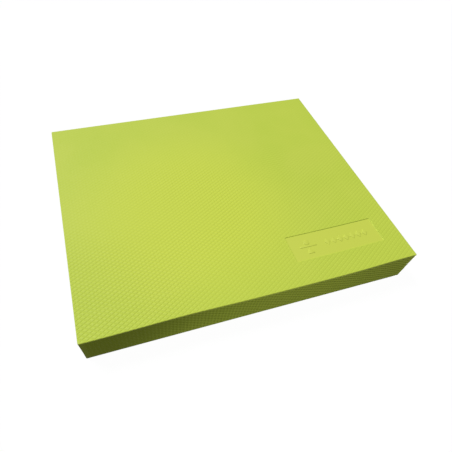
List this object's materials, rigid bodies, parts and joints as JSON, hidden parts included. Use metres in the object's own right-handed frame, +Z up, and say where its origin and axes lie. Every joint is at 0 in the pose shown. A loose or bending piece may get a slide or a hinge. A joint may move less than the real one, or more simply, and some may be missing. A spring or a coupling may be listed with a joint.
{
  "type": "balance pad",
  "caption": "Thick rectangular foam pad to stand and exercise on, with an embossed skin on every side, a laminated soft core and a sunk smooth panel in one corner of the top.",
  "frame": {"origin": "centre of the underside", "axes": "+X along the long side, +Z up; the long side with the sunk panel faces -Y"},
  "size_m": [0.5, 0.41, 0.06],
  "materials": {
    "embossed_skin": "matte lime foam skin with a pressed rhombic emboss",
    "side_skin": "matte lime foam skin with a pressed rhombic emboss",
    "grip_skin": "matte lime foam skin, embossed for grip",
    "foam_core": "matte fine closed-cell foam",
    "adhesive_film": "thin translucent adhesive"
  },
  "bodies": {
    "base": {"bottom_skin": "grip_skin", "bond_film_1": "adhesive_film", "foam_layer_1": "foam_core", "bond_film_2": "adhesive_film", "foam_layer_2": "foam_core", "bond_film_3": "adhesive_film", "edge_band": "side_skin"},
    "deck": {"foam_layer_3": "foam_core", "bond_film_4": "adhesive_film", "foam_layer_4": "foam_core", "bond_film_5": "adhesive_film", "top_skin": "embossed_skin"}
  },
  "joints": [
    {"name": "press", "type": "slide", "parent": "base", "child": "deck", "axis": [0, 0, -1], "range_m": [0, 0.024], "stiffness_N_per_m": 32000, "deforming": ["edge_band", "foam_layer_1", "foam_layer_2", "foam_layer_3", "foam_layer_4", "bond_film_1", "bond_film_2", "bond_film_3", "bond_film_4", "bond_film_5"]}
  ]
}
